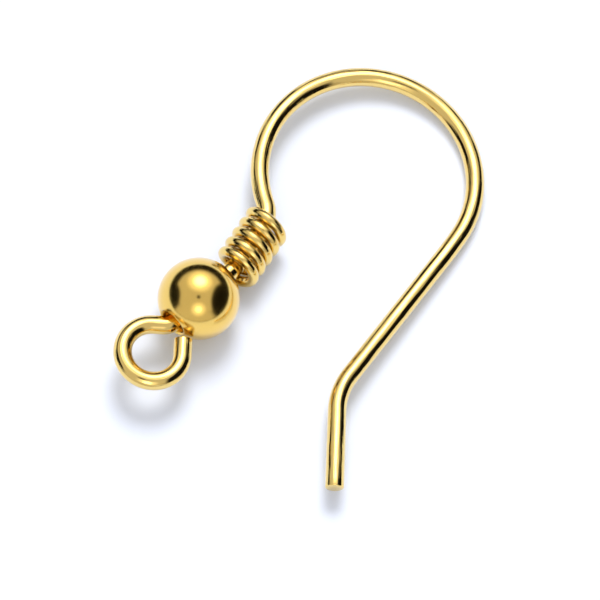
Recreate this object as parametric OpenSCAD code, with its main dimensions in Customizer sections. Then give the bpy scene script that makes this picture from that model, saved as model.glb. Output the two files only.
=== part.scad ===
// Ear wire: a fish-hook finding of one bent wire, with a drilled ball and a small coil threaded on
// its stem. It lies on a flat surface, on the ball and on the side of the big bend.
// The hook is laid out in its own plane: the ball's centre is at the origin, the stem leaves it
// along +Y and the leg is on the +X side. Headings are angles from +X in that plane.

/* [Wire] */
// Thickness of the hook's wire
wire_d = 0.8; // [0.7:0.02:0.82]

/* [Hook] */
// Straight stem from the ball's centre up
stem_run = 1.87; // [1.85:0.01:1.92]
// Angle by which the stem leans back inside the coil
lean_turn = 12.5; // [12:0.5:13]
// Centreline radius of that lean
lean_r = 2.7; // [2.6:0.1:3]
// Straight stem inside the coil
coil_run = 1.9; // [1.88:0.01:2.1]
// Angle of the shoulder above the coil
shoulder_turn = 50.3; // [48:0.1:52]
// Centreline radius of the shoulder
shoulder_r = 1.38; // [1.35:0.01:1.6]
// Angle of the big bend
bow_turn = 230.7; // [227:0.1:234]
// Centreline radius of the big bend
bow_r = 4.64; // [4.3:0.01:5]
// Angle of the slack curve where the big bend runs out into the leg
slack_turn = 3.3; // [2:0.1:6]
// Centreline radius of the slack curve
slack_r = 24.5; // [18:0.5:30]
// Straight leg
leg_run = 6.7; // [6:0.1:7.5]
// Outward angle of the kink above the tip
kink_turn = 33.8; // [29:0.1:37]
// Centreline radius of the kink
kink_r = 2.9; // [2:0.1:3.5]
// Straight tip
tip_run = 3.5; // [3:0.05:4]

/* [Eye] */
// Straight wire from the ball's centre down
neck_run = 1.41; // [1.4:0.01:1.45]
// Angle of the neck
neck_turn = 46; // [44:0.5:47]
// Centreline radius of the neck
neck_r = 0.75; // [0.74:0.01:0.85]
// Straight arm between the neck and the eye's round
arm_run = 0.4; // [0.38:0.01:0.5]
// Centreline radius of the eye
eye_r = 1.27; // [1.24:0.01:1.4]
// Angle of the eye's round
eye_turn = 268; // [264:0.5:269]
// Straight arm that closes the eye, up to the wire's cut end
close_run = 0.72; // [0.6:0.02:0.76]

/* [Ball] */
// Diameter of the ball
ball_d = 3.5; // [3.4:0.05:3.55]
// Diameter of the hole drilled through the ball
bore_d = 1.2; // [1.18:0.01:1.3]
// Height of the ball above the stem that rests in its hole
ball_play = 0.14; // [0:0.01:0.16]

/* [Coil] */
// Thickness of the coil's wire
coil_wire_d = 0.46; // [0.4:0.01:0.47]
// Outer diameter of the coil
coil_d = 2.13; // [2.12:0.01:2.2]
// Rise of one turn
coil_pitch = 0.55; // [0.53:0.005:0.555]
// Number of turns
coil_turns = 5; // [4.8:0.1:5.1]
// Direction in which the coil's first turn starts, from straight down towards the left
coil_start = 20; // [0:5:355]
// Distance from the ball's centre to the middle of the coil's first end
coil_foot = 2.05; // [2:0.01:2.06]
// Shift of the coil off the stem, towards the leg
coil_shift = 0.08; // [0.06:0.01:0.1]
// Sag of the coil below the stem that it hangs on
coil_sag = 0.05; // [0:0.01:0.08]

/* [Hidden] */
$fn = 48;
// Sides of the coil's wire, and steps in one of its turns
coil_sides = 12;
coil_steps = 28;
wire_r = wire_d / 2;
ball_r = ball_d / 2;
bore_r = bore_d / 2;
coil_wire_r = coil_wire_d / 2;
coil_r = coil_d / 2 - coil_wire_r;
coil_rise = coil_turns * coil_pitch;
coil_slope = atan(coil_pitch / (2 * PI * coil_r));
// The ball's drilling tool reaches past both sides of the ball
drill_reach = 1;
drill_len = ball_d + 2 * drill_reach;
// A ball closes each joint of the wire: how much it stands out, and how far the wire stops short
joint_proud = 0.01;
joint_r = wire_r + joint_proud;
joint_gap = 0.02;

// Each row of a bent wire: a straight run, then the radius and the angle of the bend after it,
// with a bend to the left counted as plus
RUN = 0;
RADIUS = 1;
TURN = 2;
HOOK_ROWS = [
    [stem_run, lean_r, lean_turn],
    [coil_run, shoulder_r, shoulder_turn],
    [0, bow_r, -bow_turn],
    [0, slack_r, -slack_turn],
    [leg_run, kink_r, kink_turn],
    [tip_run, 0, 0],
];
EYE_ROWS = [
    [neck_run, neck_r, -neck_turn],
    [arm_run, eye_r, eye_turn],
    [close_run, 0, 0],
];
COIL_ROW = 1;
BOW_ROW = 2;
LEG_ROW = 4;
EYE_ROW = 1;

function ahead(h) = [cos(h), sin(h)];
function left(h) = [-sin(h), cos(h)];
function along(a) = [a.x, a.y, 0];

// Point where a row's bend starts, the bend's centre, and the point where it ends
function bend_start(p, h, row) = p + row[RUN] * ahead(h);
function bend_centre(p, h, row) =
    bend_start(p, h, row) + sign(row[TURN]) * row[RADIUS] * left(h);
function bend_end(p, h, row) =
    bend_centre(p, h, row) - sign(row[TURN]) * row[RADIUS] * left(h + row[TURN]);

// Place and heading at the start of every row, and at the wire's end
function stops(rows, p, h, i = 0) = i == len(rows)
    ? [[p, h]]
    : concat([[p, h]], stops(rows, bend_end(p, h, rows[i]), h + rows[i][TURN], i + 1));
HOOK_STOPS = stops(HOOK_ROWS, [0, 0], 90);
EYE_STOPS = stops(EYE_ROWS, [0, 0], -90);
TIP_END = HOOK_STOPS[len(HOOK_ROWS)][0];
TIP_HEADING = HOOK_STOPS[len(HOOK_ROWS)][1];
LEG_HEADING = HOOK_STOPS[LEG_ROW][1];
BOW_CENTRE = bend_centre(HOOK_STOPS[BOW_ROW][0], HOOK_STOPS[BOW_ROW][1], HOOK_ROWS[BOW_ROW]);
EYE_CENTRE = bend_centre(EYE_STOPS[EYE_ROW][0], EYE_STOPS[EYE_ROW][1], EYE_ROWS[EYE_ROW]);

// Length times centroid of each piece of a bent wire, for the balance of the whole
function arc_len(row) = row[RADIUS] * abs(row[TURN]) * PI / 180;
function run_moment(p, h, row) = row[RUN] * (p + row[RUN] / 2 * ahead(h));
function arc_moment(p, h, row) = arc_len(row) * bend_centre(p, h, row)
    - row[RADIUS] * row[RADIUS] * 2 * sin(row[TURN] / 2) * left(h + row[TURN] / 2);
function wire_len(rows, i = 0) = i == len(rows)
    ? 0
    : rows[i][RUN] + arc_len(rows[i]) + wire_len(rows, i + 1);
function wire_moment(rows, at, i = 0) = i == len(rows)
    ? [0, 0]
    : run_moment(at[i][0], at[i][1], rows[i]) + arc_moment(at[i][0], at[i][1], rows[i])
        + wire_moment(rows, at, i + 1);

// The coil's axis leans with the stem inside it
coil_heading = 90 + lean_turn;
LEANING = HOOK_STOPS[COIL_ROW][0];
COIL_FOOT = LEANING + (coil_foot - LEANING.y) * ahead(coil_heading)
    - coil_shift * left(coil_heading);
COIL_MIDDLE = COIL_FOOT + coil_rise / 2 * ahead(coil_heading);

// Volumes, and the centre of mass as seen from the ball's centre
wire_area = PI * wire_r * wire_r;
coil_volume = PI * coil_wire_r * coil_wire_r * coil_turns
    * sqrt(pow(2 * PI * coil_r, 2) + pow(coil_pitch, 2));
ball_volume = 4 / 3 * PI * pow(ball_r * ball_r - bore_r * bore_r, 1.5);
volume = wire_area * (wire_len(HOOK_ROWS) + wire_len(EYE_ROWS)) + coil_volume + ball_volume;
BALANCE = (wire_area * (wire_moment(HOOK_ROWS, HOOK_STOPS) + wire_moment(EYE_ROWS, EYE_STOPS))
    + coil_volume * COIL_MIDDLE) / volume;

// Lying down, the hook touches on the ball and on the big bend, where the line from the ball's
// centre through the centre of mass meets the bend. It leans down along the bend's radius there.
to_balance = BALANCE / norm(BALANCE);
across = BOW_CENTRE.x * to_balance.y - BOW_CENTRE.y * to_balance.x;
TOUCH = (BOW_CENTRE * to_balance + sqrt(bow_r * bow_r - across * across)) * to_balance;
LEAN = (TOUCH - BOW_CENTRE) / bow_r;
tilt = asin((ball_r - ball_play - wire_r) / (BOW_CENTRE * LEAN + bow_r));

// The leg lies along Y, so the hook's plane is turned by this much
plane_turn = -90 - LEG_HEADING;

// How far a step in the hook's plane moves a point in the direction w of the surface
function turned(w) = [cos(plane_turn) * w.x + sin(plane_turn) * w.y,
    cos(plane_turn) * w.y - sin(plane_turn) * w.x];
function moved(w) = turned(w) - (1 - cos(tilt)) * (turned(w) * LEAN) * LEAN;
X_MOVE = moved([1, 0]);
Y_MOVE = moved([0, 1]);

// Outline of the lying hook: the big bend's left side and top, the eye's foot and the tip's end
left_side = BOW_CENTRE * X_MOVE - bow_r * norm(X_MOVE) - wire_r;
right_side = TIP_END * X_MOVE + wire_r * sqrt(1 - pow(ahead(TIP_HEADING) * X_MOVE, 2));
top_side = BOW_CENTRE * Y_MOVE + bow_r * norm(Y_MOVE) + wire_r;
foot_side = EYE_CENTRE * Y_MOVE - eye_r * norm(Y_MOVE) - wire_r;
MIDDLE = [left_side + right_side, foot_side + top_side] / 2;

// A ball a hair thicker than the wire, which closes the joint between two of its pieces
module joint(p) {
    translate(along(p))
        sphere(r = joint_r);
}

// One row of a bent wire, from a place and heading. Its pieces stop just short of each joint.
module wire_row(p, h, row) {
    cut_turn = row[RADIUS] > 0 ? joint_gap / row[RADIUS] * 180 / PI : 0;
    first = row[TURN] > 0 ? h - 90 : h + 90 + row[TURN];
    if (row[RUN] > 0) {
        translate(along(p + joint_gap * ahead(h)))
            rotate([0, 90, h])
                cylinder(h = row[RUN] - (row[RADIUS] > 0 ? 2 : 1) * joint_gap, r = wire_r);
        if (row[RADIUS] > 0)
            joint(bend_start(p, h, row));
    }
    if (row[RADIUS] > 0) {
        translate(along(bend_centre(p, h, row)))
            rotate_extrude(angle = abs(row[TURN]) - 2 * cut_turn, start = first + cut_turn)
                translate([row[RADIUS], 0])
                    circle(r = wire_r);
        joint(bend_end(p, h, row));
    }
}

module bent_wire(rows, at) {
    for (i = [0:len(rows) - 1])
        wire_row(at[i][0], at[i][1], rows[i]);
}

// Lays what is drawn in the hook's plane down on the surface, its outline's middle at the origin
module lying() {
    translate([-MIDDLE.x, -MIDDLE.y, ball_r - ball_play])
        rotate([0, 0, plane_turn])
            rotate(a = tilt, v = [-LEAN.y, LEAN.x, 0])
                children();
}

module ear_hook() {
    color("gold")
        lying()
            union() {
                joint([0, 0]);
                bent_wire(HOOK_ROWS, HOOK_STOPS);
                bent_wire(EYE_ROWS, EYE_STOPS);
            }
}

module ball() {
    color("goldenrod")
        translate([0, 0, ball_play])
            lying()
                difference() {
                    sphere(r = ball_r);
                    rotate([90, 0, 0])
                        cylinder(h = drill_len, r = bore_r, center = true);
                }
}

// One ring of the round section that is swept along the left-handed helix
function helix_ring(a) = [for (b = [0:coil_sides - 1])
    let (out = coil_r + coil_wire_r * cos(360 * b / coil_sides))
    let (up = coil_wire_r * sin(360 * b / coil_sides))
    [out * cos(a) + up * sin(a) * sin(coil_slope),
     up * cos(a) * sin(coil_slope) - out * sin(a),
     coil_pitch * a / 360 + up * cos(coil_slope)]];

module coil() {
    rings = round(coil_turns * coil_steps);
    points = [for (i = [0:rings]) each helix_ring(coil_turns * 360 * i / rings)];
    sides = [for (i = [0:rings - 1], b = [0:coil_sides - 1])
        let (low = i * coil_sides, high = low + coil_sides, next = (b + 1) % coil_sides)
        each [[low + b, high + b, high + next], [low + b, high + next, low + next]]];
    first_cap = [for (b = [0:coil_sides - 1]) b];
    last_cap = [for (b = [coil_sides - 1:-1:0]) rings * coil_sides + b];
    color("khaki")
        lying()
            translate([COIL_FOOT.x, COIL_FOOT.y, -coil_sag])
                rotate([0, 90, coil_heading])
                    rotate([0, 0, coil_start])
                        polyhedron(points, concat(sides, [first_cap, last_cap]));
}

ear_hook();
ball();
coil();
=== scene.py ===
# %% [markdown]
# # A gold ear wire, dressed for its portrait
# The construction is already made at its real size: a hook bent of one wire, a drilled ball and a
# small coil. Here each of them gets the smooth, polished skin that shows in a close-up.
# We start from the construction, so that every new piece can be laid exactly where the old one is.

# %% Load the construction
from math import acos, atan, cos, pi, radians, sin

import bmesh
import bpy
from mathutils import Matrix, Vector


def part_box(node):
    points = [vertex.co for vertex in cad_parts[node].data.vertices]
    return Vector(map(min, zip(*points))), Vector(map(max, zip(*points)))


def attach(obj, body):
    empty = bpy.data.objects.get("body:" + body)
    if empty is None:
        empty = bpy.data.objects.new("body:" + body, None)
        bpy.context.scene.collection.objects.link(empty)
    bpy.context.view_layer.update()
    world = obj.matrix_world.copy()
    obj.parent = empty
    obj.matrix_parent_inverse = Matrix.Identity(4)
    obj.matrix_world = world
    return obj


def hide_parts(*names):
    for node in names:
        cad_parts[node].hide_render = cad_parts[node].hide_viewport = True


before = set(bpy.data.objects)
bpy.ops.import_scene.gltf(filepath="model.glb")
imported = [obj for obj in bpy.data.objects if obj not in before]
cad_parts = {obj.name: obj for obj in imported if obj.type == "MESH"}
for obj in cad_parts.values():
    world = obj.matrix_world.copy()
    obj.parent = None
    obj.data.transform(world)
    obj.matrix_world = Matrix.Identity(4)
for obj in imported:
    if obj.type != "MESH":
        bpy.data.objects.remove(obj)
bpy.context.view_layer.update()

# %% [markdown]
# ## How the wire is bent
# On the bench an ear wire is bent round pins: a straight run, a bend, the next run, the next bend.
# We could draw it as a curve and give the curve a thickness, but a curve hides those steps.
# So we keep the maker's list. Each row is a straight run, then the radius and the angle of the
# bend after it, in millimetres and degrees, and a bend to the left counts as plus.

# %% The maker's list
MM = 0.001
wire_r = 0.4
hook_rows = [
    (1.87, 2.7, 12.5),
    (1.9, 1.38, 50.3),
    (0, 4.64, -230.7),
    (0, 24.5, -3.3),
    (6.7, 2.9, 33.8),
    (3.5, 0, 0),
]
eye_rows = [
    (1.41, 0.75, -46),
    (0.4, 1.27, 268),
    (0.72, 0, 0),
]
wire_length = sum(
    run + bend_r * radians(abs(turn)) for run, bend_r, turn in hook_rows + eye_rows)
print("wire in the hook:", round(wire_length, 1), "mm")

# %% [markdown]
# ## Where the hook lies
# The list is bent in a plane of its own, with its origin at the ball's centre and the stem along
# +Y. Lying down, the hook rests on the ball and on the big bend, so that plane is a little tilted.
# One matrix carries everything from the bending plane to the surface. Its place comes from the
# ball of the construction, and its last step turns millimetres into metres.

# %% From the bending plane to the surface
ball_r = 1.75
ball_play = 0.14
lean_heading = radians(49.37)
lean_tilt = radians(5.621)
plane_turn = radians(-8.8)

ball_low, ball_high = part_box("ball")
ball_place = (ball_low + ball_high) / 2
stem_place = ball_place - Vector((0, 0, ball_play * MM))
lean_axis = Vector((-sin(lean_heading), cos(lean_heading), 0))
turned_down = Matrix.Rotation(plane_turn, 4, "Z") @ Matrix.Rotation(lean_tilt, 4, lean_axis)
to_surface = Matrix.Translation(stem_place) @ turned_down @ Matrix.Scale(MM, 4)
ball_to_surface = Matrix.Translation(ball_place) @ turned_down @ Matrix.Scale(MM, 4)
print("ball's centre, mm:", [round(1000 * x, 2) for x in ball_place])

# %% [markdown]
# ## Finishing a piece
# Every piece ends the same way: its bmesh is carried to the surface, its faces are turned
# outwards and shaded smooth, and it stands for its solid. We write that once.

# %% Finish one piece
def finish_piece(bm, name, node, matrix):
    bmesh.ops.recalc_face_normals(bm, faces=bm.faces)
    bm.transform(matrix)
    mesh = bpy.data.meshes.new(name)
    bm.to_mesh(mesh)
    bm.free()
    for face in mesh.polygons:
        face.use_smooth = True
    piece = bpy.data.objects.new(name, mesh)
    bpy.context.scene.collection.objects.link(piece)
    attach(piece, "root")
    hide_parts(node)
    print(name, "has", len(mesh.polygons), "faces")
    return piece

# %% [markdown]
# ## Sweeping a round wire
# A wire is a ring that travels. bmesh has an operator for each kind of travel: extruding the ring's
# edges and moving them makes a straight run, and spin carries the ring round a bend's pin.
# We spin one small step at a time, because then each ring can be told how far along the wire it
# is. That length is the U of the wire's own UV map, which the polish lines follow later.

# %% The travelling ring
UP = Vector((0, 0, 1))
ORIGIN = Vector((0, 0, 0))
ring_sides = 48
bend_step = radians(3)
run_step = 0.4
least_bend_steps = 4

def ahead(heading):
    return Vector((cos(heading), sin(heading), 0))

def left(heading):
    return Vector((-sin(heading), cos(heading), 0))

def ring_at(bm, place, heading, radius, sides):
    across = Matrix((left(heading), UP, ahead(heading))).transposed().to_4x4()
    circle = bmesh.ops.create_circle(
        bm, segments=sides, radius=radius, matrix=Matrix.Translation(place) @ across)
    travelled = bm.verts.layers.float["travelled"]
    around = bm.verts.layers.float["around"]
    for i, vert in enumerate(circle["verts"]):
        vert[travelled] = 0
        vert[around] = i / sides
    return list({edge for vert in circle["verts"] for edge in vert.link_edges})

def mark_travel(bm, ring, step):
    travelled = bm.verts.layers.float["travelled"]
    for vert in {v for edge in ring for v in edge.verts}:
        vert[travelled] += step

# %% A straight run and a bend
def last_edges(made):
    return [item for item in made if isinstance(item, bmesh.types.BMEdge)]

def straight_run(bm, ring, heading, length):
    steps = max(1, round(length / run_step))
    for _ in range(steps):
        made = bmesh.ops.extrude_edge_only(bm, edges=ring)["geom"]
        new_verts = [item for item in made if isinstance(item, bmesh.types.BMVert)]
        new_ring = [e for e in last_edges(made) if all(v in new_verts for v in e.verts)]
        bmesh.ops.translate(bm, verts=new_verts, vec=ahead(heading) * length / steps)
        mark_travel(bm, new_ring, length / steps)
        ring = new_ring
    return ring

def bend(bm, ring, centre, turn, radius, rise=0):
    steps = max(least_bend_steps, round(abs(turn) / bend_step))
    for _ in range(steps):
        made = bmesh.ops.spin(
            bm, geom=ring, cent=centre, axis=UP, angle=turn / steps, steps=1,
            dvec=UP * rise / steps, use_duplicate=False)
        ring = last_edges(made["geom_last"])
        mark_travel(bm, ring, radius * abs(turn) / steps)
    return ring

# %% [markdown]
# ## Walking the maker's list
# With those two moves the list can be walked, from the ball's centre outwards. The pin of a bend
# stands a radius to the left or to the right of the ring, and each bend hands its last ring on to
# the next run.

# %% Walk the list
def walk(bm, ring, rows, heading):
    place = ORIGIN
    for run, bend_r, turn in rows:
        if run:
            ring = straight_run(bm, ring, heading, run)
            place = place + run * ahead(heading)
        if turn:
            side = 1 if turn > 0 else -1
            pin = place + side * bend_r * left(heading)
            ring = bend(bm, ring, pin, radians(turn), bend_r)
            heading += radians(turn)
            place = pin - side * bend_r * left(heading)
    return ring, place

# %% [markdown]
# ## Cut ends
# Wire is cut, and its edge is eased with a file so that it doesn't scratch the ear. A face closes
# the last ring, and a small bevel eases its rim. The tip is eased more than the hidden end.

# %% Close an end
ease_segments = 4
tip_ease = 0.07
cut_ease = 0.03
coil_ease = 0.05

def close_end(bm, ring, ease):
    cap = bmesh.ops.contextual_create(bm, geom=ring)["faces"]
    travelled = bm.verts.layers.float["travelled"]
    print("an end is closed", round(max(v[travelled] for v in cap[0].verts), 1), "mm along")
    bmesh.ops.bevel(
        bm, geom=list(cap[0].edges), offset=ease, offset_type="OFFSET", affect="EDGES",
        segments=ease_segments, profile=0.5, material=-1)

# %% [markdown]
# ## The wire's own map
# Each corner of a face gets the length travelled as its U and the share of the way round as its V.
# Where a face crosses the seam, the corners past it count on above 1.

# %% Map a wire
def map_wire(bm):
    travelled = bm.verts.layers.float["travelled"]
    around = bm.verts.layers.float["around"]
    uv = bm.loops.layers.uv.new("UVMap")
    for face in bm.faces:
        turns = [loop.vert[around] for loop in face.loops]
        crosses_seam = max(turns) - min(turns) > 0.5
        for loop, turn in zip(face.loops, turns):
            v = turn + 1 if crosses_seam and turn < 0.5 else turn
            loop[uv].uv = (loop.vert[travelled], v)

# %% [markdown]
# ## The ear hook
# The real hook is one piece of wire, so it is one mesh. The ring starts at the ball's centre,
# where the ball hides it. It travels up the list of the hook, and then once more from the same
# ring down the list of the eye.

# %% Bend the ear hook
hook_mesh = bmesh.new()
hook_mesh.verts.layers.float.new("travelled")
hook_mesh.verts.layers.float.new("around")
first_ring = ring_at(hook_mesh, ORIGIN, radians(90), wire_r, ring_sides)
tip_ring, tip_place = walk(hook_mesh, first_ring, hook_rows, radians(90))
cut_ring, cut_place = walk(hook_mesh, first_ring, eye_rows, radians(-90))
close_end(hook_mesh, tip_ring, tip_ease)
close_end(hook_mesh, cut_ring, cut_ease)
map_wire(hook_mesh)
ear_hook = finish_piece(hook_mesh, "ear_hook_wire", "ear_hook", to_surface)
print("tip ends at", [round(x, 2) for x in tip_place])
print("eye's wire ends at", [round(x, 2) for x in cut_place])

# %% [markdown]
# ## The ball
# The bead is turned and drilled through. A sphere primitive has poles, and the drilling passes
# right through two of them. Instead we draw half of its section, an arc that ends at the hole
# with a small eased lip and the hole's wall, and spin it once round the hole.

# %% Turn and drill the ball
bore_r = 0.6
lip = 0.08
arc_steps = 72
lathe_steps = 128
weld_distance = 1e-5

def ball_section(bm):
    mouth = acos((bore_r + lip) / ball_r)
    start = bm.verts.new((bore_r + lip, -ball_r * sin(mouth), 0))
    arc = bmesh.ops.spin(
        bm, geom=[start], cent=ORIGIN, axis=UP, angle=2 * mouth, steps=arc_steps)
    last = [item for item in arc["geom_last"] if isinstance(item, bmesh.types.BMVert)][0]
    for end in (start, last):
        inward = -1 if end.co.y > 0 else 1
        corner = bm.verts.new((bore_r, end.co.y + inward * lip, 0))
        bm.edges.new((end, corner))
    wall = [v for v in bm.verts if abs(v.co.x - bore_r) < weld_distance]
    bm.edges.new(wall)

ball_mesh = bmesh.new()
ball_section(ball_mesh)
bmesh.ops.spin(
    ball_mesh, geom=ball_mesh.edges[:] + ball_mesh.verts[:], cent=ORIGIN, axis=(0, 1, 0),
    angle=2 * pi, steps=lathe_steps, use_merge=True)
bmesh.ops.remove_doubles(ball_mesh, verts=ball_mesh.verts, dist=weld_distance)
ball = finish_piece(ball_mesh, "drilled_ball", "ball", ball_to_surface)

# %% [markdown]
# ## The coil
# The coil is wound of thinner wire round a mandrel. A screw modifier could wind it, but spin can do
# it too: its step along the axis turns a bend into a helix, so the same travelling ring makes it.
# The turns run backwards, because this coil is left-handed, and the ring leans by the helix's
# slope, so that the wire stays round all the way.

# %% Wind the coil
coil_wire_r = 0.23
coil_r = 0.835
coil_pitch = 0.55
coil_turns = 5
coil_start = radians(20)
coil_foot = Vector((0.1016, 2.0769, -0.05))
coil_heading = radians(102.5)
coil_sides = 24

coil_mesh = bmesh.new()
coil_mesh.verts.layers.float.new("travelled")
coil_mesh.verts.layers.float.new("around")
coil_slope = atan(coil_pitch / (2 * pi * coil_r))
coil_ring = ring_at(coil_mesh, ORIGIN, radians(90), coil_wire_r, coil_sides)
coil_mesh.transform(
    Matrix.Rotation(coil_start, 4, "Z") @ Matrix.Translation((coil_r, 0, 0))
    @ Matrix.Rotation(-coil_slope, 4, "X"))
coil_end = bend(
    coil_mesh, coil_ring, ORIGIN, -2 * pi * coil_turns, coil_r, rise=coil_pitch * coil_turns)
close_end(coil_mesh, coil_end, coil_ease)
close_end(coil_mesh, [e for e in coil_mesh.edges if e.is_boundary], coil_ease)
map_wire(coil_mesh)
on_stem = Matrix.Translation(coil_foot) @ Matrix.Rotation(coil_heading, 4, "Z")
on_stem = on_stem @ Matrix.Rotation(radians(90), 4, "Y")
coil = finish_piece(coil_mesh, "wound_coil", "coil", to_surface @ on_stem)

# %% [markdown]
# ## Polished gold
# Gold plate is a metal all the way: its colour is the colour of its reflections. What tells it
# from a mirror is the handling of the wire. Drawing leaves fine lines along it, and tumbling
# leaves soft waves and spots where the plate is a little duller. A clear lacquer lies over it all.

# %% A gold finish
lacquer_roughness = 0.06
tone_size = 900
darker_tone = 0.9
smoothest, dullest = 0.7, 1.4
relief_depth = 0.00002
line_stretch = (0.5, 22, 1)

def gold_plate(name, colour, lacquer, roughness, line_strength, wave_strength, wave_size):
    material = bpy.data.materials.new(name)
    material.use_nodes = True
    nodes, links = material.node_tree.nodes, material.node_tree.links
    shader = nodes["Principled BSDF"]
    shader.inputs["Metallic"].default_value = 1
    shader.inputs["Coat Weight"].default_value = lacquer
    shader.inputs["Coat Roughness"].default_value = lacquer_roughness
    place = nodes.new("ShaderNodeTexCoord")

    tone = nodes.new("ShaderNodeTexNoise")
    tone.inputs["Scale"].default_value = tone_size
    tone_ramp = nodes.new("ShaderNodeValToRGB")
    tone_ramp.color_ramp.elements[0].color = (*[c * darker_tone for c in colour], 1)
    tone_ramp.color_ramp.elements[1].color = (*colour, 1)
    links.new(place.outputs["Object"], tone.inputs["Vector"])
    links.new(tone.outputs["Fac"], tone_ramp.inputs["Fac"])
    links.new(tone_ramp.outputs["Color"], shader.inputs["Base Color"])

    dull = nodes.new("ShaderNodeMapRange")
    dull.inputs["To Min"].default_value = roughness * smoothest
    dull.inputs["To Max"].default_value = roughness * dullest
    links.new(tone.outputs["Fac"], dull.inputs["Value"])
    links.new(dull.outputs["Result"], shader.inputs["Roughness"])

    waves = nodes.new("ShaderNodeTexNoise")
    waves.inputs["Scale"].default_value = wave_size
    wave_bump = nodes.new("ShaderNodeBump")
    wave_bump.inputs["Strength"].default_value = wave_strength
    wave_bump.inputs["Distance"].default_value = relief_depth
    links.new(place.outputs["Object"], waves.inputs["Vector"])
    links.new(waves.outputs["Fac"], wave_bump.inputs["Height"])
    links.new(wave_bump.outputs["Normal"], shader.inputs["Normal"])

    if line_strength:
        stretch = nodes.new("ShaderNodeMapping")
        stretch.inputs["Scale"].default_value = line_stretch
        lines = nodes.new("ShaderNodeTexNoise")
        lines.inputs["Scale"].default_value = 1
        line_bump = nodes.new("ShaderNodeBump")
        line_bump.inputs["Strength"].default_value = line_strength
        line_bump.inputs["Distance"].default_value = relief_depth
        links.new(place.outputs["UV"], stretch.inputs["Vector"])
        links.new(stretch.outputs["Vector"], lines.inputs["Vector"])
        links.new(lines.outputs["Fac"], line_bump.inputs["Height"])
        links.new(line_bump.outputs["Normal"], wave_bump.inputs["Normal"])
    return material

# %% The three golds
pale_gold = (0.90, 0.64, 0.18)
deep_gold = (0.90, 0.60, 0.13)
wire_gold = gold_plate(
    "polished_wire_gold", pale_gold, lacquer=0.8, roughness=0.08,
    line_strength=0.8, wave_strength=0.3, wave_size=1300)
ball_gold = gold_plate(
    "polished_ball_gold", deep_gold, lacquer=0.5, roughness=0.15,
    line_strength=0, wave_strength=0.2, wave_size=900)
coil_gold = gold_plate(
    "polished_coil_gold", pale_gold, lacquer=0.6, roughness=0.10,
    line_strength=1, wave_strength=0.8, wave_size=2200)
for piece, finish in ((ear_hook, wire_gold), (ball, ball_gold), (coil, coil_gold)):
    piece.data.materials.append(finish)
    print(piece.name, "is finished in", finish.name)

# %% [markdown]
# ## The surface
# The ear wire lies on white paper, slightly cool against the gold. A faint glow of its own keeps
# the paper as white as in the photograph, without lifting the shadows much.

# %% The surface
table_size = 2
bpy.ops.mesh.primitive_plane_add(size=table_size, location=ORIGIN)
table = bpy.context.object
table.name = "table"
white = bpy.data.materials.new("table_white")
white.use_nodes = True
paper = white.node_tree.nodes["Principled BSDF"].inputs
paper["Base Color"].default_value = (0.80, 0.86, 0.97, 1)
paper["Roughness"].default_value = 0.9
paper["Specular IOR Level"].default_value = 0.1
paper["Emission Color"].default_value = (0.92, 0.95, 1, 1)
paper["Emission Strength"].default_value = 0.08
table.data.materials.append(white)
print(table.name, "is", table_size, "m wide")

# %% [markdown]
# ## Camera
# The photograph looks steeply down on the ear wire. A long lens from a good distance keeps
# the wire the same thickness everywhere. We place the camera by where it looks from.

# %% The camera
def towards(azimuth, elevation):
    a, e = radians(azimuth), radians(elevation)
    return Vector((sin(a) * cos(e), -cos(a) * cos(e), sin(e)))

view_azimuth = 29.50
view_elevation = 68.81
view_roll = 6.75
view_distance = 0.3064
view_focus = Vector((-0.000484, -0.001419, -0.000386))
focal_px = 7204.3
image_px = 600
sensor_mm = 36
nearest_seen = 0.01

camera_data = bpy.data.cameras.new("camera")
camera_data.sensor_width = sensor_mm
camera_data.lens = focal_px / image_px * sensor_mm
camera_data.clip_start = nearest_seen
camera = bpy.data.objects.new("camera", camera_data)
back = towards(view_azimuth, view_elevation)
aim = back.to_track_quat("Z", "Y").to_matrix().to_4x4()
roll = Matrix.Rotation(radians(view_roll), 4, "Z")
camera.matrix_world = Matrix.Translation(view_focus + back * view_distance) @ aim @ roll
bpy.context.scene.collection.objects.link(camera)
bpy.context.scene.camera = camera
bpy.context.scene.view_settings.view_transform = "Standard"
print("camera with a", round(camera_data.lens), "mm lens,", view_distance, "m away")

# %% [markdown]
# ## Light
# A small mirror shows the whole room, so the room is what gives polished gold its look. The room
# of the photograph can be read off the ball: a pale tent overhead, dark near the table except at
# the front, two dark panels and two soft windows. We could hang area lamps, but their hard edges
# would show in the gold. So the room is painted into the world, direction by direction.

# %% A room to paint
world = bpy.data.worlds.new("photo_tent")
bpy.context.scene.world = world
world.use_nodes = True
sky, sky_links = world.node_tree.nodes, world.node_tree.links
look = sky.new("ShaderNodeTexCoord").outputs["Generated"]

def math_node(operation, first, second):
    node = sky.new("ShaderNodeMath")
    node.operation = operation
    for socket, value in zip(node.inputs, (first, second)):
        if isinstance(value, bpy.types.NodeSocket):
            sky_links.new(value, socket)
        else:
            socket.default_value = value
    return node.outputs[0]

def soft_step(value, start, end, level=1):
    step = sky.new("ShaderNodeMapRange")
    step.interpolation_type = "SMOOTHSTEP"
    step.inputs["From Min"].default_value = start
    step.inputs["From Max"].default_value = end
    step.inputs["To Max"].default_value = level
    sky_links.new(value, step.inputs["Value"])
    return step.outputs["Result"]

# %% A soft spot in the room
def spot(azimuth, elevation, outer, inner, level=1):
    facing = sky.new("ShaderNodeVectorMath")
    facing.operation = "DOT_PRODUCT"
    facing.inputs[1].default_value = towards(azimuth, elevation)
    sky_links.new(look, facing.inputs[0])
    return soft_step(facing.outputs["Value"], cos(radians(outer)), cos(radians(inner)), level)

split_look = sky.new("ShaderNodeSeparateXYZ")
sky_links.new(look, split_look.inputs["Vector"])
height = split_look.outputs["Z"]

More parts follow.
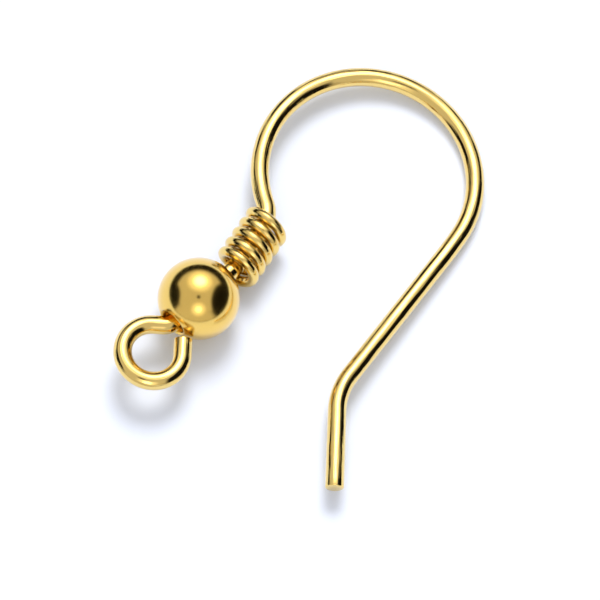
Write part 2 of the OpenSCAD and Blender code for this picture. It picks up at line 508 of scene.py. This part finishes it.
# %% [markdown]
# ## What stands in the room
# Each row says where a thing stands, by azimuth and elevation, and how far its soft edge and its
# full middle reach, all in degrees. A light has its brightness as well. Each window is two rows,
# a wide glow and a bright middle. The tent's height is a sine: 0 at the table's level, 1 overhead.

# %% Paint the room
window_azimuth, window_elevation = 212, 60
tent_starts, tent_full = 0.3, 0.5
front_starts, front_full = -0.1, 0.1
tent_level, darkest = 0.7, 0.008
front_wall = (22, 5, 66, 40)
dark_panels = ((116, 15, 43, 34), (304, 8, 33, 23))
windows = (
    (window_azimuth, window_elevation, 38, 4, 0.9),
    (window_azimuth, window_elevation, 20, 3, 3.2),
    (34, 39, 24, 3, 0.7),
    (34, 39, 11, 2, 1.6),
)
lens_above_view, lens_outer, lens_inner, lens_darkness = 5, 6, 4, 0.9
tent_tint = (1, 0.98, 1, 1)

overhead = soft_step(height, tent_starts, tent_full)
front = math_node("MULTIPLY", spot(*front_wall), soft_step(height, front_starts, front_full))
open_tent = math_node("MAXIMUM", overhead, front)
for panel in dark_panels:
    open_tent = math_node("MULTIPLY", open_tent, math_node("SUBTRACT", 1, spot(*panel)))
room = math_node("ADD", math_node("MULTIPLY", open_tent, tent_level), darkest)
for window in windows:
    room = math_node("ADD", room, spot(*window))
lens = spot(
    view_azimuth, view_elevation + lens_above_view, lens_outer, lens_inner, lens_darkness)
room = math_node("MULTIPLY", room, math_node("SUBTRACT", 1, lens))
tint = sky.new("ShaderNodeMix")
tint.data_type = "RGBA"
tint.blend_type = "MULTIPLY"
tint.inputs["Factor"].default_value = 1
tint.inputs["A"].default_value = tent_tint
sky_links.new(room, tint.inputs["B"])
sky_links.new(tint.outputs["Result"], sky["Background"].inputs["Color"])
print("the room is painted with", len(sky), "nodes")

# %% [markdown]
# ## The shadow's lamp
# The room alone lights the table evenly. One lamp stands behind the bright window and gives the
# shadows their direction. The gold doesn't see it, because the window is already painted there.

# %% A lamp behind the window
lamp_distance = 0.5
lamp_width = 0.22
lamp_power = 0.9

lamp_data = bpy.data.lights.new("window_lamp", "AREA")
lamp_data.shape = "DISK"
lamp_data.size = lamp_width
lamp_data.energy = lamp_power
window_lamp = bpy.data.objects.new("window_lamp", lamp_data)
outward = towards(window_azimuth, window_elevation)
window_lamp.location = outward * lamp_distance
window_lamp.rotation_euler = outward.to_track_quat("Z", "Y").to_euler()
window_lamp.visible_glossy = False
bpy.context.scene.collection.objects.link(window_lamp)
print("one lamp of", lamp_power, "W in a painted room")

# %% [markdown]
# ## The last update
# The dressed pieces stand for the solids, so both boxes should be the same but for hundredths of
# a millimetre. The script ends by bringing the scene up to date.

# %% Bring the scene up to date
bpy.context.view_layer.update()
